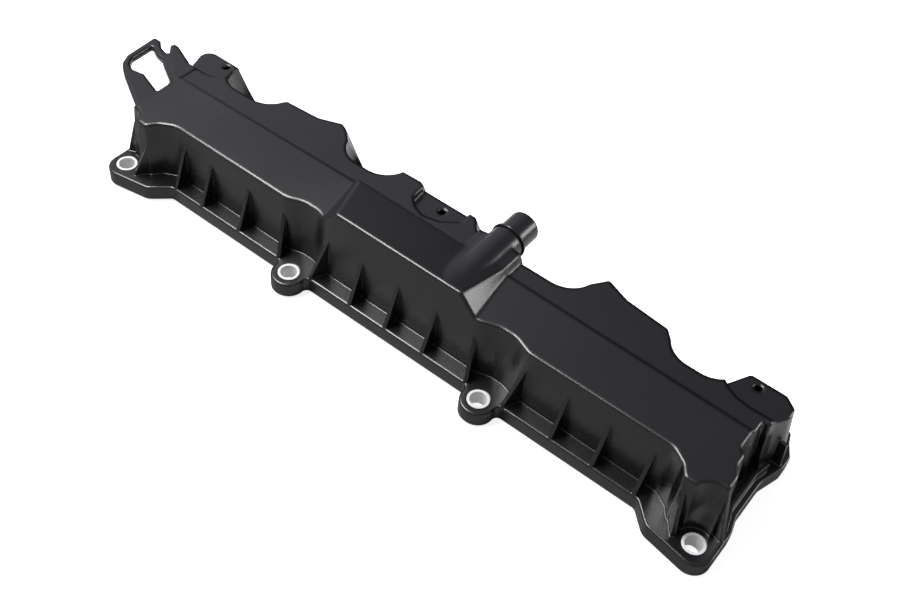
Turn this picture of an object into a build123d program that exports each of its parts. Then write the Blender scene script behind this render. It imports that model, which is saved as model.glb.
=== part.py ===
from build123d import *
import os
from math import hypot

# Bolt pattern. The first front bolt is the origin, on the underside of the flange.
front_bolt_x = (0.0, 107.6, 217.1, 324.0)
rear_bolt_x = (36.5, 107.0, 214.6, 284.0)
rear_bolt_y = 64.4
sleeve_od = 10.1
sleeve_id = 7.6
sleeve_fit = 0.05
sleeve_proud = 0.2

# Flange plate with its ears
flange_t = 7.5
flange_left = -6.8
flange_right = 331.2
flange_front = 2.9
flange_back = 76.0
ear_reach = 8.2
ear_r = 7.9
ear_blend_r = 2.8
corner_ear_r = 7.8
ear_shoulder_r = 7.0
ear_left_x = -8.0
ear_right_x = 333.5
ear_shoulder = (19.5, -5.4)
ear_run_x = 28.2
ear_front_y = -10.6
bulge = 3.7
flange_end_y = (14, 23, 44, 56, 63, 70)
flange_end_r = [6, 6, 8, 7, 5, 3, 3]
flange_corner_cut = (0.2, 2.2)
flange_edge_r = 0.9

# Walls, given at the top of the flange and again at the roof
wall_t = 3.0
least_corner_r = 0.3
roof_z = 38.5
above_all_z = 52.0
overlap = 1.0
front_foot_y = 11.0
front_head_y = 11.9
nose_foot_y = 2.6
nose_head_y = 3.0
nose_run = (14.3, 17.8, 24.5)
nose_step = 4.8
nose_r = [1.5, 3.0, 7.0]
left_foot_x = -2.0
left_head_x = -0.2
right_foot_x = 323.4
right_head_x = 320.1
post_foot_x = 327.4
post_head_x = 325.9
post_back_y = 15.9
post_r = 2.0
base_back_y = 55.0
centre_x = 162.0

# Steps of the right end wall: how far each stands out, its y and its corner radius
end_wall = [
    (3.1, 21.4, 1.5), (2.9, 26.5, 1.0), (0, 28.9, 0.5), (0, 38.8, 0), (0.7, 39.2, 0), (0.7, base_back_y, 0),
]

# Round recesses over the bolts, with their radius at the foot and at the roof
corner_bite_foot_r = 7.7
corner_bite_head_r = 9.2
rear_bite_foot_r = 11.0
rear_bite_head_r = 13.8
rear_bite_foot_reach = ((-8.0, 0.0), (-7.0, 3.2), (-26.6, 0.0), (-4.0, 5.0))
rear_bite_head_reach = ((-10.5, 0.0), (-3.4, 3.2), (-33.6, 0.0), (-1.0, 5.0))

# Shallow waves in the front wall behind the two middle bolts, at the foot and at the roof
wave_foot = (10.0, 3.5, 2.4)
wave_head = (12.5, 4.0, 3.4)
wave_r = 11.0

# Roof levels
crease_y = 39.5
crease_z = 39.6
crease_drop = 0.8
crease_bow = 2.6
crease_left_x = 0.6
crease_corner_r = 3.0
crease_set_back = 1.2
under_crease = (1.6, 0.9)
pad_floor_z = 36.0
middle_pad_floor_z = 34.6

# Raised chamber over the middle of the cover
chamber_front_y = 13.0
chamber_rear_y = 39.5
chamber_front_z = 47.5
chamber_rear_z = 43.0
chamber_front_x = (116.0, 124.8, 193.6, 202.6)
chamber_rear_x = (110.4, 115.0, 196.6, 199.6)
chamber_lead = 5.0
chamber_skirt = 12.0
chamber_sink = 0.4
slope_shift = 0.75
sink_shift = 0.3

# Spout housing and the breather spout
spout_x = 186.0
spout_z = 38.5
housing_crest_z = 46.2
housing_shoulder_z = 43.0
housing_left_x = 173.4
housing_left_top_x = 174.8
housing_right_x = 199.4
housing_right_top_x = 196.6
housing_back_y = 51.6
housing_front_y = 40.0
housing_front_lead = 1.0
housing_front_z = (47.1, 47.4)
housing_front_right_x = (192.4, 201.0)
housing_back_rise = 0.2
housing_spread = 1.5
housing_corner_r = 1.5
housing_ledge = 1.0
arch_share = 0.4
boss_back_y = 57.5
boss_front_y = 17.0
boss_od = 16.6
tube_od = 15.0
tube_id = 9.0
tube_len = 14.0
collar_step = 1.4
collar_od = tube_od + 2 * collar_step
collar_t = 1.4
shank_od = 13.4
shank_len = 9.0
shank_fit = 0.05
spout_bore_depth = 19.0
ring_cord = 1.5
ring_place = 4.5
ring_gap = 0.05

# Fins on the front wall
fin_t = 1.8
fin_tip_z = 28.7
fin_foot_y = 3.6
fin_sink = 0.6
fin_bury = 1.5
fin_root = 1.0
plain_fin_x = (30.2, 47.9, 72.0, 141.0, 161.7, 182.9, 251.8, 272.6, 293.5)
splay_foot = (9.6, 3.2)
splay_tip = (13.4, 12.0)
corner_fin_foot = (8.2, -2.8)
corner_fin_tip = (13.4, 4.0)
corner_fin_left_z = 26.5
corner_fin_right_z = 38.0
corner_fin_bury = 1.2
end_fin_y = (8.2, 10.2)
end_fin_foot_in = (0.8, 1.2)
end_fin_tip_out = (2.3, 0.4)
end_fin_bury = (3.4, 1.6)
end_fin_left_z = 27.0
end_fin_right_z = 37.0
bulge_fin_y = 57.0
bulge_fin_t = 1.6
bulge_fin_top = (332.1, 20.5)
bulge_fin_foot_x = 333.3
bulge_fin_root = (327.0, 22.0)

# Lip beside the right end wall
lip_t = 1.6
lip_top_z = 12.9
lip_x = 326.8
lip_front = [(330.6, 9.0), (331.9, 10.2)]
lip_back = [(330.2, 50.0), (328.4, 50.6)]
lip_bend_y = (21.8, 22.0, 42.4, 43.0)
lip_bend_r = (6, 5)

# Holder frame at the left end
holder_top_z = 38.4
holder_t = 3.2
holder_arm_rise = 0.9
holder_corner_r = 1.2
holder_inner_r = 0.8
holder_arm_r = 0.5
holder_outer = [
    (2, 9.2), (-21.4, 22.2), (-25.9, 25.2), (-28.6, 27.9), (-31.1, 33.4), (-32.2, 52.2), (-27.6, 51.9),
    (-23.8, 48.7), (-15.6, 46.5), (-20.9, 52.4), (-20.3, 54.6), (-17.2, 54.4), (-3.2, 48.6), (2, 48.6),
]
holder_opening = [
    (-0.4, 23.9), (0.4, 28.2), (-1.2, 33.6), (-14.0, 40.9), (-17.5, 43.2), (-22.2, 44.0), (-25.5, 45.5),
    (-28.7, 47.2), (-28.2, 33.4), (-25.4, 29.2), (-21.0, 27.2), (-14.4, 28.5),
]
holder_arm = [
    (1.0, 33.5), (-1.5, 35.2), (-13.9, 44.2), (-15.6, 46.5), (-20.9, 52.4), (-20.3, 54.6), (-17.2, 54.4),
    (-3.2, 48.6), (1.0, 48.6),
]

# Gasket groove in the underside
groove_out = 1.4
groove_w = 2.8
groove_depth = 4.2
gasket_side_gap = 0.3
gasket_proud = 1.0

# Baffle plate under the chamber
baffle_t = 2.2
baffle_z = 28.5
baffle_x = (113.0, 202.5)
baffle_y = (18.6, 37.6)
baffle_corner_r = 3.0
baffle_rim_h = 3.0
baffle_rim_t = 1.8
vent_hole_d = 3.0
vent_hole_count = 6
vent_hole_pitch = 4.5
vent_start_x = 130.5
vent_rows_y = (26.0, 30.2)
drain_x = 192.0
drain_y = 28.1
drain_od = 7.0
drain_id = 4.6
drain_len = 12.0
screw_boss_od = 6.6
boss_x = (125.0, 158.0, 181.0)
boss_y = (24.2, 32.0)
screw_d = 3.0
screw_fit = 0.05
screw_head_d = 5.8
screw_head_h = 2.0
screw_len = 10.5
screw_socket_d = 2.2
screw_socket_depth = 1.1
screw_edge_r = 0.7
screw_point = 0.5

# Ribs under the roof
roof_rib_t = 1.6
roof_rib_h = 7.0
roof_rib_y = (0.0, 60.0)
roof_rib_x = (30.2, 60.0, 90.0, 234.0, 262.0, 293.5)

MIN_Z = (Align.CENTER, Align.CENTER, Align.MIN)
MAX_Z = (Align.CENTER, Align.CENTER, Align.MAX)
bolt_places = {"front": [(x, 0.0) for x in front_bolt_x], "rear": [(x, rear_bolt_y) for x in rear_bolt_x]}
rear_bite_spans = [
    ((x + foot[0], x + foot[1]), (x + head[0], x + head[1]))
    for x, foot, head in zip(rear_bolt_x, rear_bite_foot_reach, rear_bite_head_reach)
]


def shift_in(points, amount):
    """Move every side of a counter-clockwise outline inwards by the same amount."""
    moved = []
    count = len(points)
    for i in range(count):
        (ax, ay), (bx, by), (cx, cy) = points[i - 1], points[i], points[(i + 1) % count]
        ux, uy = bx - ax, by - ay
        vx, vy = cx - bx, cy - by
        ul, vl = hypot(ux, uy), hypot(vx, vy)
        n1 = (-uy / ul, ux / ul)
        n2 = (-vy / vl, vx / vl)
        share = amount / (1 + n1[0] * n2[0] + n1[1] * n2[1])
        moved.append((bx + share * (n1[0] + n2[0]), by + share * (n1[1] + n2[1])))
    return moved


def at_height(foot, head, z):
    """Points on the straight walls that join a foot outline to its roof outline."""
    part = (z - flange_t) / (roof_z - flange_t)
    return [(a + (c - a) * part, b + (d - b) * part) for (a, b), (c, d) in zip(foot, head)]


def outline(points, radii, z=0.0):
    """Closed face with rounded corners, at a height."""
    return Pos(0, 0, z) * make_face(FilletPolyline(*points, radius=radii, close=True))


def tighten(radii, amount):
    """Corner radii of an outline after its sides are moved inwards."""
    return [min(r, r - amount) if r - amount > least_corner_r else 0 for r in radii]


def mass(foot, head, radii, inset, z_low, z_high):
    """Drafted solid above the flange on a straight stub, with its walls moved in by the inset."""
    corner_radii = tighten(radii, inset)
    base = outline(shift_in(foot, inset), corner_radii, flange_t)
    top = outline(shift_in(at_height(foot, head, z_high), inset), corner_radii, z_high)
    return loft([base, top], ruled=True) + extrude(base, flange_t - z_low, dir=(0, 0, -1))


def slot_face(x0, x1, y, radius, z):
    """Round or oblong face about one or two centres."""
    if x1 - x0 < 0.01:
        return Pos(x0, y, z) * Circle(radius)
    return Pos((x0 + x1) / 2, y, z) * SlotCenterToCenter(x1 - x0, 2 * radius)


def bite(foot_span, head_span, y, foot_r, head_r, inset, z_low, z_high):
    """Round pocket that opens upwards, cut out of the walls above a bolt."""
    part = (z_high - flange_t) / (roof_z - flange_t)
    top_span = [a + (b - a) * part for a, b in zip(foot_span, head_span)]
    base = slot_face(*foot_span, y, foot_r + inset, flange_t)
    top = slot_face(*top_span, y, foot_r + (head_r - foot_r) * part + inset, z_high)
    return loft([base, top], ruled=True) + extrude(base, flange_t - z_low, dir=(0, 0, -1))


def front_outline(front_y, nose_y, left_x, right_x, post_x, wave):
    """Walls of the long body, with a nose beside each corner bolt and a wave behind each middle one."""
    far = 2 * centre_x
    wide, narrow, depth = wave
    nose = list(zip(nose_run, (nose_y, nose_y + nose_step, front_y)))
    points = [(left_x, nose_y)] + nose
    for x in front_bolt_x[1:3]:
        points += [(x - wide, front_y), (x - narrow, front_y + depth), (x + narrow, front_y + depth),
                   (x + wide, front_y)]
    points += [(far - x, y) for x, y in reversed(nose)]
    points += [(post_x, nose_y), (post_x, post_back_y)]
    points += [(right_x + out, y) for out, y, r in end_wall]
    return points + [(left_x, base_back_y)]


body_radii = [0] + nose_r + [wave_r] * 8 + nose_r[::-1] + [0, post_r] + [r for out, y, r in end_wall] + [0]
body_foot = front_outline(front_foot_y, nose_foot_y, left_foot_x, right_foot_x, post_foot_x, wave_foot)
body_head = front_outline(front_head_y, nose_head_y, left_head_x, right_head_x, post_head_x, wave_head)

# Lobes along the back, each with its outline at the foot, at the roof, and its corner radii
lobes = {
    "left_end": (
        [(-3.0, 46), (24, 46), (26, 54), (25.5, 62), (22.6, 72.8), (-7, 72.8), (-8.2, 62), (-6.6, 54)],
        [(-2.2, 46), (20, 46), (21.5, 55), (18.0, 58.4), (14.3, 65.2), (-6.4, 65.2), (-7.8, 60), (-5.0, 52)],
        [0, 0, 1, 1, 2, 5, 2, 2],
    ),
    "left": (
        [(48, 46), (101, 46), (99, 56), (94, 72.6), (84, 73.4), (66, 72.2), (51, 72.0), (48, 62)],
        [(44, 46), (100, 46), (99, 52), (84.4, 65.6), (80.8, 66.9), (69.5, 62.4), (50.4, 61.1), (46, 54)],
        [0, 0, 1, 1.2, 1.2, 6, 2, 1],
    ),
    "middle": (
        [(119, 46), (184, 46), (184, 56), (170, 72.8), (138, 72.6), (132, 73.2), (124, 72.8)],
        [(117, 46), (178, 46), (176, 52), (166.8, 59.8), (137, 59.8), (134, 61.3), (122.2, 60.9)],
        [0, 0, 0, 1.2, 1, 1, 2],
    ),
    "right": (
        [(226, 46), (280, 46), (279, 56), (272, 72.8), (246, 73.0), (228, 73.8), (226, 60)],
        [(222, 46), (275.5, 46), (275.5, 53), (267, 62.0), (245, 64.2), (233.2, 68.6), (222, 52)],
        [0, 0, 1, 2, 6, 1.5, 0],
    ),
    "right_end": (
        [(297, 47.2), (326.4, 47.2), (327.4, 52.8), (330.9, 60), (330.9, 66), (325, 72.8),
         (306, 72.8), (300, 60)],
        [(296, 46.2), (324.2, 46.2), (324.2, 51.2), (328.2, 57.4), (327.6, 62.0), (322, 65.9),
         (305.4, 65.9), (299.4, 54.2)],
        [0, 0.4, 4, 5, 2.5, 3, 2, 1],
    ),
}
housing_foot = [
    (housing_left_x, housing_front_y), (housing_right_x + housing_spread, housing_front_y),
    (housing_right_x + housing_spread, housing_back_y), (housing_left_x, housing_back_y),
]
housing_head = [
    (housing_left_x, housing_front_y), (housing_right_x, housing_front_y), (housing_right_x, housing_back_y),
    (housing_left_x, housing_back_y),
]
housing_radii = [0, 0, housing_corner_r, housing_corner_r]

# Sunk pads: outline, floor height and corner radii
pads = {
    "left_end": (
        [(-12, 49.4), (6, 49.0), (12, 50.2), (15.8, 54.6), (15.4, 61), (13, 75), (-12, 75)],
        pad_floor_z,
        [0, 6, 6, 4, 4, 0, 0],
    ),
    "middle": (
        [(136.6, 58), (137.2, 51.5), (142, 47), (148, 45), (156, 47), (163.4, 53.0), (163.4, 75),
         (136.2, 75)],
        middle_pad_floor_z,
        [0, 4, 4, 5, 5, 1, 0, 0],
    ),
    "right_end": (
        [(298, 55), (302, 52.2), (307, 50.0), (313, 49.2), (340, 49.8), (340, 75), (298, 75)],
        pad_floor_z,
        [0, 5, 6, 6, 0, 0, 0],
    ),
}
pad_holes = {"left_end": (8.3, 62.2), "middle": (150.9, 56.0), "right_end": (310.9, 62.4)}
pad_hole_d = 3.6
pad_hole_depth = 9.0
pad_hole_floor = 2.0
pad_boss_d = 7.0


def along_x(points):
    """Solid that runs past both ends of the cover, with its section in the y-z plane."""
    face = make_face(Polyline(*[(-60.0, y, z) for y, z in points], close=True))
    return extrude(face, 460.0, dir=(1, 0, 0))


def roof_space(inset):
    """Everything below the roof, the chamber and the spout housing, lowered by the inset."""
    ahead_y, behind_y, panel_back_y, low_z, past_x = -20, 90, 50, -5.0, 350
    back_z = crease_z - crease_drop - inset
    first_z, second_z = back_z - under_crease[0], back_z - under_crease[1]
    space = along_x([(ahead_y, low_z), (ahead_y, first_z), (front_head_y, second_z), (crease_y, back_z),
                     (behind_y, back_z), (behind_y, low_z)])
    slope = (crease_z - roof_z) / (crease_y - front_head_y)
    ahead_z = roof_z + slope * (ahead_y - front_head_y) - inset
    panel_back_z = roof_z + slope * (panel_back_y - front_head_y) - inset
    panel = along_x([(ahead_y, low_z), (ahead_y, ahead_z), (panel_back_y, panel_back_z),
                     (panel_back_y, low_z)])
    edge_y = crease_y - crease_set_back
    reach = [(crease_left_x, ahead_y), (past_x, ahead_y), (past_x, edge_y), (centre_x, edge_y + crease_bow),
             (crease_left_x, edge_y)]
    space += panel & extrude(outline(reach, [0, 0, 0, 0, crease_corner_r], low_z), 80)
    space += chamber(inset) + housing(inset)
    for points, floor_z, radii in pads.values():
        space -= extrude(outline(shift_in(points, -inset), radii, floor_z - inset), 30)
    return space


def chamber(inset):
    """Raised chamber: level along the cover, falling towards the rear, with sloped ends."""
    faces = []
    for y in (chamber_front_y - chamber_lead, chamber_rear_y - inset):
        part = (y - chamber_front_y) / (chamber_rear_y - chamber_front_y)
        xs = [a + (b - a) * part for a, b in zip(chamber_front_x, chamber_rear_x)]
        top = chamber_front_z + (chamber_rear_z - chamber_front_z) * part - inset
        side = slope_shift * inset
        low = roof_z - inset - chamber_skirt
        edge = roof_z - chamber_sink - sink_shift * inset
        section = [(xs[0] + side, low), (xs[3] - side, low), (xs[3] - side, edge), (xs[2] - side, top),
                   (xs[1] + side, top), (xs[0] + side, edge)]
        faces.append(make_face(Polyline(*[(x, y, z) for x, z in section], close=True)))
    return loft(faces, ruled=True)


def housing(inset):
    """Round-backed ridge that grows out of the chamber and ends above the spout."""
    low = roof_z - inset - chamber_skirt
    ledge = roof_z - housing_ledge
    back_right_x = (housing_right_top_x, housing_right_x)
    stations = (
        (chamber_front_y - housing_front_lead, *housing_front_z, *housing_front_right_x),
        (chamber_rear_y, housing_shoulder_z, housing_crest_z, *back_right_x),
        (housing_back_y - inset, housing_shoulder_z, housing_crest_z + housing_back_rise, *back_right_x),
    )
    faces = []
    for y, shoulder, crest, right_top, right_foot in stations:
        left_top = housing_left_top_x + inset
        left_foot = housing_left_x + inset
        right_top -= inset
        right_foot -= inset
        shoulder -= inset
        crest -= inset
        bend_z = shoulder + arch_share * (crest - shoulder)
        arch = Spline((left_top, y, shoulder), ((left_top + spout_x) / 2, y, bend_z), (spout_x, y, crest),
                      ((right_top + spout_x) / 2, y, bend_z), (right_top, y, shoulder))
        sides = Polyline((left_top, y, shoulder), (left_foot, y, ledge), (left_foot, y, low),
                         (right_foot, y, low), (right_foot, y, ledge), (right_top, y, shoulder))
        faces.append(make_face([arch] + sides.edges()))
    return loft(faces, ruled=True)


def spout_boss(inset):
    """Round boss about the spout's axis, which ends the ridge."""
    front_y = boss_front_y + inset
    boss = Cylinder(boss_od / 2 - inset, boss_back_y - front_y, align=MIN_Z)
    return Pos(spout_x, front_y, spout_z) * Rot(-90, 0, 0) * boss


def form(inset, z_low):
    """The cover's walls and roof as one solid, moved in by the inset on every side."""
    lobe_high = crease_z + overlap / 2
    solid = mass(body_foot, body_head, body_radii, inset, z_low, above_all_z)
    for foot, head, radii in lobes.values():
        solid += mass(foot, head, radii, inset, z_low, lobe_high)
    cut_z = (z_low - overlap, above_all_z + overlap)
    for x in (front_bolt_x[0], front_bolt_x[3]):
        solid -= bite((x, x), (x, x), 0, corner_bite_foot_r, corner_bite_head_r, inset, *cut_z)
    for foot_span, head_span in rear_bite_spans:
        solid -= bite(foot_span, head_span, rear_bolt_y, rear_bite_foot_r, rear_bite_head_r, inset, *cut_z)
    solid += mass(housing_foot, housing_head, housing_radii, inset, z_low, above_all_z)
    return (solid & roof_space(inset)) + spout_boss(inset)


def footprint(inset):
    """Flat outline of the walls at the underside of the flange."""
    face = outline(shift_in(body_foot, inset), tighten(body_radii, inset))
    for foot, head, radii in lobes.values():
        face += outline(shift_in(foot, inset), tighten(radii, inset))
    for x in (front_bolt_x[0], front_bolt_x[3]):
        face -= slot_face(x, x, 0, corner_bite_foot_r + inset, 0)
    for foot_span, head_span in rear_bite_spans:
        face -= slot_face(*foot_span, rear_bolt_y, rear_bite_foot_r + inset, 0)
    return face


def flange_end(edge_x, ear_x, out):
    """Points up one end of the flange, with out as 1 on the right and -1 on the left."""
    ear_y, waist_y, swell_y, bulge_low_y, bulge_high_y, corner_y = flange_end_y
    slant, cut = flange_corner_cut
    bulge_x = edge_x + out * bulge
    return [(ear_x, ear_y), (edge_x, waist_y), (edge_x, swell_y), (bulge_x, bulge_low_y),
            (bulge_x, bulge_high_y), (edge_x - out * slant, corner_y), (edge_x - out * cut, flange_back)]


def flange_plate():
    """Plate with a round ear at each front bolt and a bulge at each rear corner."""
    far = 2 * centre_x
    shoulder_x, shoulder_y = ear_shoulder
    points = [(ear_left_x, ear_front_y), (shoulder_x, shoulder_y), (ear_run_x, flange_front)]
    radii = [corner_ear_r, ear_shoulder_r, ear_blend_r]
    for x in front_bolt_x[1:3]:
        points += [(x - ear_reach, flange_front), (x - ear_reach, -ear_reach),
                   (x + ear_reach, -ear_reach), (x + ear_reach, flange_front)]
        radii += [ear_blend_r, ear_r, ear_r, ear_blend_r]
    points += [(far - ear_run_x, flange_front), (far - shoulder_x, shoulder_y), (ear_right_x, ear_front_y)]
    radii += [ear_blend_r, ear_shoulder_r, corner_ear_r]
    points += flange_end(flange_right, ear_right_x, 1) + flange_end(flange_left, ear_left_x, -1)[::-1]
    radii += flange_end_r + flange_end_r[::-1]
    plate = extrude(outline(points, radii), flange_t)
    rim = plate.edges().filter_by_position(Axis.Z, flange_t - 0.01, flange_t + 0.01)
    return fillet(rim, flange_edge_r)


def fin(foot, tip, top_z, thickness, bury):
    """Upright three-cornered fin from a point on the flange to a point on the wall."""
    run = hypot(tip[0] - foot[0], tip[1] - foot[1])
    along = ((tip[0] - foot[0]) / run, (tip[1] - foot[1]) / run)
    plane = Plane(origin=(foot[0], foot[1], 0), x_dir=(along[0], along[1], 0), z_dir=(along[1], -along[0], 0))
    low = flange_t - fin_root
    end = run + bury
    profile = Polyline((0, low), (end, low), (end, top_z), (run, top_z), (0, flange_t), close=True)
    return extrude(plane * make_face(profile), thickness / 2, both=True)


def fins():
    """Fins on the front wall, beside the bolts and on both ends."""
    wall_y = front_foot_y + fin_sink
    made = []
    for x in plain_fin_x:
        made.append(fin((x, fin_foot_y), (x, wall_y), fin_tip_z, fin_t, fin_bury))
    for x in front_bolt_x[1:3]:
        for side in (-1, 1):
            foot = (x + side * splay_foot[0], splay_foot[1])
            tip = (x + side * splay_tip[0], splay_tip[1])
            made.append(fin(foot, tip, fin_tip_z, fin_t, fin_bury))
    far = 2 * centre_x
    made.append(fin(corner_fin_foot, corner_fin_tip, corner_fin_left_z, fin_t, corner_fin_bury))
    far_foot = (far - corner_fin_foot[0], corner_fin_foot[1])
    far_tip = (far - corner_fin_tip[0], corner_fin_tip[1])
    made.append(fin(far_foot, far_tip, corner_fin_right_z, fin_t, corner_fin_bury))
    foot_y, tip_y = end_fin_y
    left_foot = (ear_left_x + end_fin_foot_in[0], foot_y)
    left_tip = (left_head_x - end_fin_tip_out[0], tip_y)
    made.append(fin(left_foot, left_tip, end_fin_left_z, fin_t, end_fin_bury[0]))
    right_foot = (ear_right_x - end_fin_foot_in[1], foot_y)
    right_tip = (post_head_x + end_fin_tip_out[1], tip_y)
    made.append(fin(right_foot, right_tip, end_fin_right_z, fin_t, end_fin_bury[1]))
    return made + [bulge_fin()]


def bulge_fin():
    """Low fin on the right end, over the bulge of the flange."""
    root_x, root_z = bulge_fin_root
    low = flange_t - fin_root
    foot_x = bulge_fin_foot_x
    points = [(root_x, low), (foot_x, low), (foot_x, flange_t), bulge_fin_top, (root_x, root_z)]
    face = make_face(Polyline(*[(x, bulge_fin_y, z) for x, z in points], close=True))
    return extrude(face, bulge_fin_t / 2, dir=(0, 1, 0), both=True)


def lip():
    """Low upright lip that leaves a trough beside the right end wall."""
    in_low_y, out_low_y, out_high_y, in_high_y = lip_bend_y
    low_r, high_r = lip_bend_r
    points = lip_front + [(lip_x + lip_t, out_low_y), (lip_x + lip_t, out_high_y)] + lip_back
    points += [(lip_x, in_high_y), (lip_x, in_low_y)]
    radii = [0, 0, low_r, high_r, 0, 0, low_r, low_r]
    low = flange_t - fin_root
    return extrude(outline(points, radii, low), lip_top_z - low)


def holder():
    """Open frame carried on two arms from the left end of the roof."""
    low = holder_top_z - holder_t
    frame = extrude(outline(holder_outer, holder_corner_r, low), holder_t)
    arm = extrude(outline(holder_arm, holder_arm_r, low), holder_t + holder_arm_rise)
    opening = extrude(outline(holder_opening, holder_inner_r, low - overlap), 20)
    return frame + arm - opening


def cylinder_up(x, y, z, diameter, height):
    """Upright cylinder that stands on a height."""
    return Pos(x, y, z) * Cylinder(diameter / 2, height, align=MIN_Z)


def inner_bosses(outer):
    """What stays solid inside the walls: the spout's seat, the screw bosses, the ribs and the pad bosses."""
    seat_len = shank_len + 2 * overlap
    kept = Pos(spout_x, boss_back_y, spout_z) * Rot(90, 0, 0) * Cylinder(boss_od / 2, seat_len, align=MIN_Z)
    tall = 20
    for x in boss_x:
        for y in boss_y:
            kept += cylinder_up(x, y, baffle_z + baffle_t, screw_boss_od, tall) & outer
    low_y, high_y = roof_rib_y
    for x in roof_rib_x:
        place = Pos(x, (low_y + high_y) / 2, roof_z - wall_t - roof_rib_h)
        kept += place * Box(roof_rib_t, high_y - low_y, tall, align=MIN_Z) & outer
    for name, (x, y) in pad_holes.items():
        low = pads[name][1] - pad_hole_depth - pad_hole_floor
        kept += cylinder_up(x, y, low, pad_boss_d, pad_hole_depth + pad_hole_floor) & outer
    return kept


def cover_shell():
    """The moulded cover: walls, roof, flange, fins, bosses and holder in one piece."""
    outer = form(0, flange_t - overlap)
    inner = form(wall_t, -overlap)
    shell = outer + flange_plate()
    for piece in fins():
        shell += piece
    shell += lip() + holder()
    shell -= inner - inner_bosses(outer)
    groove_in = wall_t - groove_out
    shell -= extrude(footprint(groove_in - groove_w) - footprint(groove_in), groove_depth)
    past = 30
    for x, y in bolt_places["front"] + bolt_places["rear"]:
        shell -= cylinder_up(x, y, -overlap, sleeve_od + 2 * sleeve_fit, flange_t + past)
    screw_hole_depth = screw_len - baffle_t + overlap
    for x in boss_x:
        for y in boss_y:
            shell -= cylinder_up(x, y, baffle_z + baffle_t, screw_d + 2 * screw_fit, screw_hole_depth)
    for name, (x, y) in pad_holes.items():
        shell -= cylinder_up(x, y, pads[name][1] - pad_hole_depth, pad_hole_d, past)
    seat = Cylinder(shank_od / 2 + shank_fit, spout_bore_depth + overlap, align=MIN_Z)
    return shell - Pos(spout_x, boss_back_y + overlap, spout_z) * Rot(90, 0, 0) * seat


def limiter_sleeve(x, y):
    """Steel sleeve that stands in a bolt ear and limits how far it is squeezed."""
    height = flange_t + sleeve_proud
    tube = Cylinder(sleeve_od / 2, height, align=MIN_Z) - Cylinder(sleeve_id / 2, height, align=MIN_Z)
    return Pos(x, y, 0) * tube


def perimeter_gasket():
    """Rubber ring that stands in the groove and reaches a little below the flange."""
    inner_side = wall_t - groove_out - gasket_side_gap
    outer_side = wall_t - groove_out - groove_w + gasket_side_gap
    ring = footprint(outer_side) - footprint(inner_side)
    return extrude(Pos(0, 0, -gasket_proud) * ring, groove_depth + gasket_proud)


def breather_spout():
    """Turned tube with a collar and a shank that carries the ring."""
    r = (tube_id / 2, shank_od / 2, collar_od / 2, tube_od / 2)
    groove_r = shank_od / 2 + shank_fit - ring_cord - ring_gap
    half = ring_cord / 2 + ring_gap
    a, b = ring_place - half, ring_place + half
    points = [(r[0], -shank_len), (r[1], -shank_len), (r[1], -b), (groove_r, -b), (groove_r, -a), (r[1], -a),
              (r[1], 0), (r[2], 0), (r[2], collar_t), (r[3], collar_t), (r[3], tube_len), (r[0], tube_len)]
    radii = [0, 0.5, 0, 0, 0, 0, 0, 0.5, 0.5, 0.6, 1.2, 0.8]
    profile = make_face(FilletPolyline(*points, radius=radii, close=True))
    solid = revolve(Plane.XZ * profile, Axis.Z)
    return Pos(spout_x, boss_back_y, spout_z) * Rot(-90, 0, 0) * solid


def spout_ring():
    """Rubber ring in the groove of the shank."""
    outer_r = shank_od / 2 + shank_fit
    y = boss_back_y - ring_place
    return Pos(spout_x, y, spout_z) * Rot(90, 0, 0) * Torus(outer_r - ring_cord / 2, ring_cord / 2)


def baffle_plate():
    """Tray with vent holes, screw holes and a drain, which closes the chamber from below."""
    (x0, x1), (y0, y1) = baffle_x, baffle_y
    corners = [(x0, y0), (x1, y0), (x1, y1), (x0, y1)]
    rim_h = baffle_t + baffle_rim_h
    plate = extrude(outline(corners, baffle_corner_r, baffle_z), baffle_t)
    rim = extrude(outline(corners, baffle_corner_r, baffle_z), rim_h)
    inside = shift_in(corners, baffle_rim_t)
    rim -= extrude(outline(inside, baffle_corner_r - overlap, baffle_z), rim_h + overlap)
    plate += rim + cylinder_up(drain_x, drain_y, baffle_z - drain_len, drain_od, drain_len)
    through = baffle_t + 2 * overlap
    plate -= cylinder_up(drain_x, drain_y, baffle_z - drain_len - overlap, drain_id, drain_len + through)
    for x in boss_x:
        for y in boss_y:
            plate -= cylinder_up(x, y, baffle_z - overlap, screw_d + 2 * screw_fit, through)
    for y in vent_rows_y:
        for i in range(vent_hole_count):
            x = vent_start_x + vent_hole_pitch * i
            plate -= cylinder_up(x, y, baffle_z - overlap, vent_hole_d, through)
    return plate


def baffle_screw(x, y):
    """Small pan-head screw that holds the baffle plate to a boss."""
    head = Cylinder(screw_head_d / 2, screw_head_h, align=MAX_Z)
    head = fillet(head.edges().group_by(Axis.Z)[0], screw_edge_r)
    head -= Pos(0, 0, -screw_head_h) * Cylinder(screw_socket_d / 2, screw_socket_depth, align=MIN_Z)
    shank = Cylinder(screw_d / 2, screw_len, align=MIN_Z)
    shank = chamfer(shank.edges().group_by(Axis.Z)[-1], screw_point)
    return Pos(x, y, baffle_z) * (head + shank)


os.makedirs("parts", exist_ok=True)
export_step(cover_shell(), "parts/cover_shell.step")
export_step(perimeter_gasket(), "parts/perimeter_gasket.step")
export_step(breather_spout(), "parts/breather_spout.step")
export_step(spout_ring(), "parts/spout_ring.step")
export_step(baffle_plate(), "parts/baffle_plate.step")
for side, places in bolt_places.items():
    for number, (x, y) in enumerate(places, 1):
        export_step(limiter_sleeve(x, y), f"parts/limiter_sleeve_{side}_{number}.step")
screw_places = [(x, y) for y in boss_y for x in boss_x]
for number, (x, y) in enumerate(screw_places, 1):
    export_step(baffle_screw(x, y), f"parts/baffle_screw_{number}.step")
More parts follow.
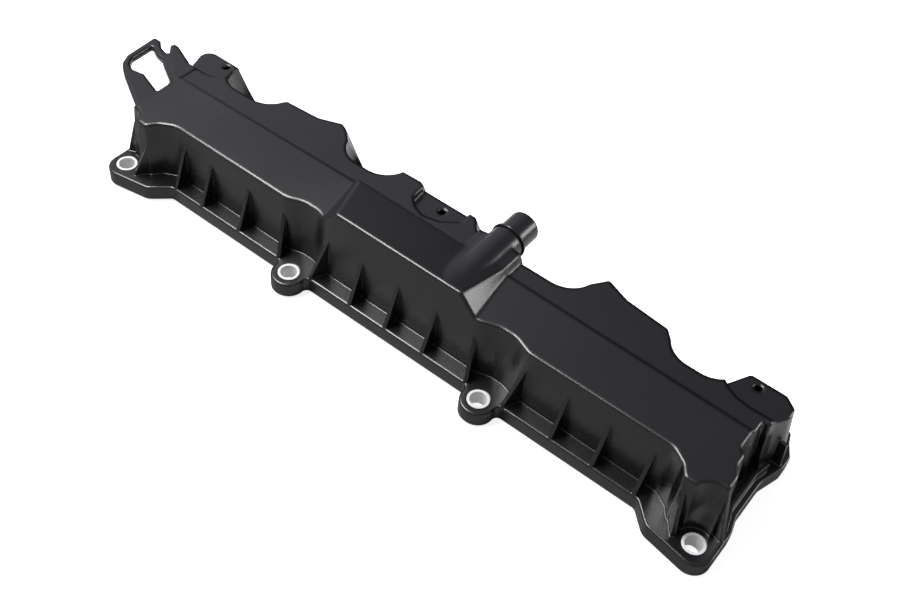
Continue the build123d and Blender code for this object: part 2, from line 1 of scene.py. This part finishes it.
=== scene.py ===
"""Valve cover of a four-cylinder engine: the looks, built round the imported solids."""

import math

import bpy
from mathutils import Matrix, Vector


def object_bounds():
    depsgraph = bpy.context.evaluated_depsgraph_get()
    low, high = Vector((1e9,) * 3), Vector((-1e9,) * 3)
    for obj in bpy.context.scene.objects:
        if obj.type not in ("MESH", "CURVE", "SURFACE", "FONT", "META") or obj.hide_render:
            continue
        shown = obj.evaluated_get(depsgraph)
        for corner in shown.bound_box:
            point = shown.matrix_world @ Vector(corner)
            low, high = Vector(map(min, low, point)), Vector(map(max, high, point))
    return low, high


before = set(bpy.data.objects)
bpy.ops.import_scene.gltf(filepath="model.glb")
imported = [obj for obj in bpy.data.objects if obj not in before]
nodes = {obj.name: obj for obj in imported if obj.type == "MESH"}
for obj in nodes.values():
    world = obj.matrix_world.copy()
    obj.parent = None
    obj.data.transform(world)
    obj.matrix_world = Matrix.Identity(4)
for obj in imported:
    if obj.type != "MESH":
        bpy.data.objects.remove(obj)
cad_low, cad_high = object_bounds()

# The cover shell: one injection moulding in black glass-filled nylon. Its mould is spark
# eroded, which leaves a fine grain, and the moulded edges are rounded: widely along the
# roof, less at the flange and hardly at all on the thin fins.
shell_dark = (0.0036, 0.0035, 0.0040)
shell_light = (0.0056, 0.0054, 0.0061)
shell_gloss = 0.95
shell_grain_scale = 1250.0
shell_grain_depth = 0.000040
roof_round = 0.0028
fin_round = 0.0006
flange_round = 0.3 * (fin_round + roof_round)
roof_round_z = (0.030, 0.033)
flange_round_z = (0.0088, 0.0098)
grain_detail = 2.0
grain_coarseness = 0.6
cloud_scale = 16.0
cloud_detail = 4.0
cloud_span = (0.3, 0.7)
cloud_roughness = (0.25, 0.31)
edge_samples = 16


def new_material(name):
    """An empty material, with its nodes and links."""
    material = bpy.data.materials.new(name)
    material.use_nodes = True
    material.node_tree.nodes.clear()
    return material, material.node_tree.nodes, material.node_tree.links


def in_range(shaders, links, value, span, result, smooth=False):
    """Takes a value from one span to another."""
    step = shaders.new("ShaderNodeMapRange")
    if smooth:
        step.interpolation_type = "SMOOTHSTEP"
    step.inputs["From Min"].default_value, step.inputs["From Max"].default_value = span
    step.inputs["To Min"].default_value, step.inputs["To Max"].default_value = result
    links.new(value, step.inputs["Value"])
    return step.outputs["Result"]


def combined(shaders, links, operation, first, second):
    """Two values put together by one operation."""
    step = shaders.new("ShaderNodeMath")
    step.operation = operation
    links.new(first, step.inputs[0])
    links.new(second, step.inputs[1])
    return step.outputs[0]


def object_place(shaders):
    """The place on the piece, in its own coordinates."""
    return shaders.new("ShaderNodeTexCoord").outputs["Object"]


def noise(shaders, links, place, detail):
    """A noise texture over a place."""
    texture = shaders.new("ShaderNodeTexNoise")
    texture.inputs["Detail"].default_value = detail
    links.new(place, texture.inputs["Vector"])
    return texture


def moulded_grain():
    """Node group: the height of the fine grain, a slow cloud of tone and the roughness it gives."""
    group = bpy.data.node_groups.new("moulded_grain", "ShaderNodeTree")
    scale = group.interface.new_socket(name="Grain Scale", in_out="INPUT", socket_type="NodeSocketFloat")
    scale.default_value = shell_grain_scale
    for name in ("Height", "Roughness", "Cloud"):
        group.interface.new_socket(name=name, in_out="OUTPUT", socket_type="NodeSocketFloat")
    inner, links = group.nodes, group.links
    outputs = inner.new("NodeGroupOutput")
    place = object_place(inner)
    grain = noise(inner, links, place, grain_detail)
    grain.inputs["Roughness"].default_value = grain_coarseness
    links.new(inner.new("NodeGroupInput").outputs["Grain Scale"], grain.inputs["Scale"])
    cloud = noise(inner, links, place, cloud_detail)
    cloud.inputs["Scale"].default_value = cloud_scale
    rough = in_range(inner, links, cloud.outputs["Fac"], cloud_span, cloud_roughness)
    links.new(grain.outputs["Fac"], outputs.inputs["Height"])
    links.new(rough, outputs.inputs["Roughness"])
    links.new(cloud.outputs["Fac"], outputs.inputs["Cloud"])
    return group


grain_group = moulded_grain()


def rounded_normal(shaders, radius, samples):
    """A normal that rounds every edge by a radius."""
    rounding = shaders.new("ShaderNodeBevel")
    rounding.samples = samples
    rounding.inputs["Radius"].default_value = radius
    return rounding


def plastic_material(name, dark, light, gloss, edge_round, grain_scale, grain_depth):
    """A grained black moulding between a dark and a light tone, with its edges rounded."""
    material, shaders, links = new_material(name)
    output = shaders.new("ShaderNodeOutputMaterial")
    body = shaders.new("ShaderNodeBsdfPrincipled")
    grain = shaders.new("ShaderNodeGroup")
    grain.node_tree = grain_group
    grain.inputs["Grain Scale"].default_value = grain_scale
    tone = shaders.new("ShaderNodeMix")
    tone.data_type = "RGBA"
    tone.inputs["A"].default_value = (*dark, 1)
    tone.inputs["B"].default_value = (*light, 1)
    links.new(grain.outputs["Cloud"], tone.inputs["Factor"])
    links.new(tone.outputs["Result"], body.inputs["Base Color"])
    links.new(grain.outputs["Roughness"], body.inputs["Roughness"])
    body.inputs["Specular IOR Level"].default_value = gloss
    rounding = rounded_normal(shaders, edge_round, edge_samples)
    bump = shaders.new("ShaderNodeBump")
    bump.inputs["Strength"].default_value = 1.0
    bump.inputs["Distance"].default_value = grain_depth
    links.new(grain.outputs["Height"], bump.inputs["Height"])
    links.new(rounding.outputs["Normal"], bump.inputs["Normal"])
    links.new(bump.outputs["Normal"], body.inputs["Normal"])
    links.new(body.outputs[0], output.inputs["Surface"])
    return material, rounding


def dress(node, material):
    """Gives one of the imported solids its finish, in place of the one it came with."""
    mesh = nodes[node].data
    mesh.materials.clear()
    mesh.materials.append(material)


shell_nylon, shell_rounding = plastic_material(
    "black_grained_nylon",
    dark=shell_dark,
    light=shell_light,
    gloss=shell_gloss,
    edge_round=roof_round,
    grain_scale=shell_grain_scale,
    grain_depth=shell_grain_depth,
)
shell_shaders, shell_links = shell_nylon.node_tree.nodes, shell_nylon.node_tree.links
shell_axis = shell_shaders.new("ShaderNodeSeparateXYZ")
shell_links.new(object_place(shell_shaders), shell_axis.inputs["Vector"])
shell_height = shell_axis.outputs["Z"]
round_at_roof = in_range(
    shell_shaders, shell_links, shell_height, roof_round_z, (fin_round, roof_round)
)
round_at_flange = in_range(
    shell_shaders, shell_links, shell_height, flange_round_z, (flange_round, fin_round)
)
shell_round = combined(shell_shaders, shell_links, "MAXIMUM", round_at_roof, round_at_flange)
shell_links.new(shell_round, shell_rounding.inputs["Radius"])
dress("cover_shell", shell_nylon)

# The limiter sleeves: short steel bushes moulded into the bolt ears of the flange, so that
# the bolts can't crush it. They are zinc plated, bright and slightly mottled.
sleeve_tone = (1.0, 1.0, 0.99)
sleeve_roughness = 0.5
sleeve_metal = 0.1
plating_cloud_scale = 700.0
plating_cloud_detail = 3.0
plating_dark_share = 0.65
plating_roughness_spread = 0.06
plated_edge_round = 0.0003
plated_edge_samples = 6


def plated_steel_material(name, tone, roughness, metal):
    """Zinc-plated steel with a fine cloud in its tone and its roughness."""
    material, shaders, links = new_material(name)
    output = shaders.new("ShaderNodeOutputMaterial")
    body = shaders.new("ShaderNodeBsdfPrincipled")
    body.inputs["Metallic"].default_value = metal
    cloud = noise(shaders, links, object_place(shaders), plating_cloud_detail)
    cloud.inputs["Scale"].default_value = plating_cloud_scale
    mix = shaders.new("ShaderNodeMix")
    mix.data_type = "RGBA"
    mix.inputs["A"].default_value = (*[value * plating_dark_share for value in tone], 1)
    mix.inputs["B"].default_value = (*tone, 1)
    links.new(cloud.outputs["Fac"], mix.inputs["Factor"])
    links.new(mix.outputs["Result"], body.inputs["Base Color"])
    low, high = roughness - plating_roughness_spread, roughness + plating_roughness_spread
    spread = in_range(shaders, links, cloud.outputs["Fac"], (0.0, 1.0), (low, high))
    links.new(spread, body.inputs["Roughness"])
    rounding = rounded_normal(shaders, plated_edge_round, plated_edge_samples)
    links.new(rounding.outputs["Normal"], body.inputs["Normal"])
    links.new(body.outputs[0], output.inputs["Surface"])
    return material


sleeve_steel = plated_steel_material("zinc_plated_sleeve", sleeve_tone, sleeve_roughness, sleeve_metal)
for name in nodes:
    if name.startswith("limiter_sleeve"):
        dress(name, sleeve_steel)

# The gasket: a cord of black rubber that is pressed into a groove in the underside of the
# flange, follows it all round and stands a millimetre out of it.
gasket_rubber, _ = plastic_material(
    "gasket_rubber",
    dark=(0.014, 0.014, 0.014),
    light=(0.024, 0.023, 0.022),
    gloss=0.3,
    edge_round=0.0003,
    grain_scale=2600.0,
    grain_depth=0.00001,
)
dress("perimeter_gasket", gasket_rubber)

# The spout: a separate nylon pipe pushed into the ridge up to its collar, with a smoother
# skin than the cover. A rubber ring on its shank seals it.
spout_nylon, _ = plastic_material(
    "smooth_spout_nylon",
    dark=(0.005, 0.005, 0.006),
    light=(0.008, 0.008, 0.009),
    gloss=0.9,
    edge_round=0.0005,
    grain_scale=3000.0,
    grain_depth=0.000008,
)
dress("breather_spout", spout_nylon)
ring_rubber, _ = plastic_material(
    "ring_rubber",
    dark=(0.010, 0.010, 0.010),
    light=(0.016, 0.016, 0.016),
    gloss=0.35,
    edge_round=0.0002,
    grain_scale=4000.0,
    grain_depth=0.000006,
)
dress("spout_ring", ring_rubber)

# The baffle: a thin nylon tray that closes the chamber from below and keeps splashed oil
# out of the spout. It is plainer and a little paler than the cover. Six small plated
# screws hold it.
baffle_nylon, _ = plastic_material(
    "baffle_nylon",
    dark=(0.018, 0.018, 0.019),
    light=(0.028, 0.028, 0.029),
    gloss=0.5,
    edge_round=0.0004,
    grain_scale=1800.0,
    grain_depth=0.00002,
)
dress("baffle_plate", baffle_nylon)
screw_steel = plated_steel_material("zinc_plated_screw", tone=(0.68, 0.68, 0.66), roughness=0.32, metal=1.0)
for name in nodes:
    if name.startswith("baffle_screw"):
        dress(name, screw_steel)

# The floor of the studio: white paper that is lifted to white where the camera sees it, so
# that only a soft shadow stays. In the cover's own reflections it carries painted shade,
# darker in front of the cover and far away, which keeps the walls black.
middle = (0.16, 0.03, 0.02)
floor_gap = 0.0005
floor_size = 6.0
paper_tone = (0.84, 0.83, 0.84)
paper_lift = 0.8
# The paper's painted shade for reflections: its share of the paper tone in front of the cover and far away.
front_y = (-0.02, 0.06)
front_painted_shade = (0.27, 0.75)
far_distance = (0.22, 0.5)
far_painted_shade = (1.0, 0.25)


def paper_material():
    """White paper, lifted for the camera, with painted shade in front and far away for reflections."""
    material, shaders, links = new_material("studio_paper")
    output = shaders.new("ShaderNodeOutputMaterial")
    paper = shaders.new("ShaderNodeBsdfDiffuse")
    paper.inputs["Color"].default_value = (*paper_tone, 1)
    place = shaders.new("ShaderNodeNewGeometry").outputs["Position"]
    axis = shaders.new("ShaderNodeSeparateXYZ")
    links.new(place, axis.inputs["Vector"])
    away = shaders.new("ShaderNodeVectorMath")
    away.operation = "DISTANCE"
    away.inputs[1].default_value = (middle[0], middle[1], 0)
    links.new(place, away.inputs[0])
    painted_front_shade = in_range(shaders, links, axis.outputs["Y"], front_y, front_painted_shade, smooth=True)
    painted_far_shade = in_range(shaders, links, away.outputs["Value"], far_distance, far_painted_shade, smooth=True)
    # Painted shade: the paper that reflections see is darker in front of the cover and far away.
    paper_with_painted_shade = shaders.new("ShaderNodeBsdfDiffuse")
    links.new(combined(shaders, links, "MULTIPLY", painted_front_shade, painted_far_shade), paper_with_painted_shade.inputs["Color"])
    lifted = shaders.new("ShaderNodeEmission")
    lifted.inputs["Color"].default_value = (1, 1, 1, 1)
    lifted.inputs["Strength"].default_value = paper_lift
    seen = shaders.new("ShaderNodeAddShader")
    links.new(lifted.outputs[0], seen.inputs[0])
    links.new(paper.outputs[0], seen.inputs[1])
    path = shaders.new("ShaderNodeLightPath")
    mirrored = shaders.new("ShaderNodeMixShader")
    links.new(path.outputs["Is Glossy Ray"], mirrored.inputs["Fac"])
    links.new(paper.outputs[0], mirrored.inputs[1])
    links.new(paper_with_painted_shade.outputs[0], mirrored.inputs[2])
    mix = shaders.new("ShaderNodeMixShader")
    links.new(path.outputs["Is Camera Ray"], mix.inputs["Fac"])
    links.new(mirrored.outputs[0], mix.inputs[1])
    links.new(seen.outputs[0], mix.inputs[2])
    links.new(mix.outputs[0], output.inputs["Surface"])
    return material


bpy.ops.object.select_all(action="DESELECT")
floor_place = (middle[0], middle[1], cad_low.z - floor_gap)
bpy.ops.mesh.primitive_plane_add(size=floor_size, location=floor_place)
floor = bpy.context.object
floor.name = "studio_floor"
floor.data.materials.append(paper_material())

# The surround and the lamps: a dim room that is brighter on the left and black low at the
# back, which draws the creases and the rear outline dark. A wide softbox overhead draws
# the bright lines along the moulded edges, and one behind on the right lights the facet.
# The camera sees the room as plain white.
room_tint = (0.97, 0.95, 1.08)
left_to_right = (-0.7, 0.1)
left_to_right_light = (0.42, 0.20)
towards_back = (0.66, 0.84)
towards_back_share = (1.0, 0.12)

world = bpy.data.worlds.new("studio_surround")
bpy.context.scene.world = world
world.use_nodes = True
room, room_links = world.node_tree.nodes, world.node_tree.links
room.clear()
room_output = room.new("ShaderNodeOutputWorld")
room_axis = room.new("ShaderNodeSeparateXYZ")
room_links.new(room.new("ShaderNodeTexCoord").outputs["Generated"], room_axis.inputs["Vector"])
room_side = in_range(
    room, room_links, room_axis.outputs["X"], left_to_right, left_to_right_light, smooth=True
)
room_back = in_range(room, room_links, room_axis.outputs["Y"], towards_back, towards_back_share, smooth=True)
room_light = room.new("ShaderNodeBackground")
room_light.inputs["Color"].default_value = (*room_tint, 1)
room_links.new(combined(room, room_links, "MULTIPLY", room_side, room_back), room_light.inputs["Strength"])
room_white = room.new("ShaderNodeBackground")
room_white.inputs["Color"].default_value = (1, 1, 1, 1)
room_white.inputs["Strength"].default_value = 1.0
room_mix = room.new("ShaderNodeMixShader")
room_links.new(room.new("ShaderNodeLightPath").outputs["Is Camera Ray"], room_mix.inputs["Fac"])
room_links.new(room_light.outputs[0], room_mix.inputs[1])
room_links.new(room_white.outputs[0], room_mix.inputs[2])
room_links.new(room_mix.outputs[0], room_output.inputs["Surface"])


def softbox(name, place, size, watts):
    """A rectangular lamp at a place, turned to the middle of the cover."""
    lamp = bpy.data.lights.new(name, "AREA")
    lamp.shape = "RECTANGLE"
    lamp.size, lamp.size_y = size
    lamp.energy = watts
    stand = bpy.data.objects.new(name, lamp)
    bpy.context.scene.collection.objects.link(stand)
    stand.location = place
    stand.rotation_euler = (Vector(middle) - Vector(place)).to_track_quat("-Z", "Y").to_euler()


softbox("overhead_softbox", place=(-0.36, -0.18, 1.03), size=(0.8, 0.34), watts=15)
softbox("right_back_softbox", place=(1.15, 0.80, 0.42), size=(0.45, 0.4), watts=3.8)

# The camera stands at the front right and above, where the picture was taken from, and is
# rolled a little. Its focal length is given in pixels of a picture 900 wide.
camera_place = Vector((0.3676, -0.2686, 0.4130))
camera_turn = math.radians(32.478)
camera_rise = math.radians(48.276)
camera_roll = math.radians(7.229)
focal_px = 1189.998
frame_px = 900.0
sensor_mm = 36.0
nearest_seen = 0.01

backward = Vector(
    (
        math.sin(camera_turn) * math.cos(camera_rise),
        -math.cos(camera_turn) * math.cos(camera_rise),
        math.sin(camera_rise),
    )
)
level_right = Vector((math.cos(camera_turn), math.sin(camera_turn), 0))
level_up = backward.cross(level_right)
right = math.cos(camera_roll) * level_right + math.sin(camera_roll) * level_up
up = math.cos(camera_roll) * level_up - math.sin(camera_roll) * level_right
camera_data = bpy.data.cameras.new("camera")
camera_data.sensor_width = sensor_mm
camera_data.lens = focal_px * sensor_mm / frame_px
camera_data.clip_start = nearest_seen
camera = bpy.data.objects.new("camera", camera_data)
bpy.context.scene.collection.objects.link(camera)
camera.matrix_world = Matrix.Translation(camera_place) @ Matrix((right, up, backward)).transposed().to_4x4()
bpy.context.scene.camera = camera
bpy.context.scene.view_settings.view_transform = "Standard"
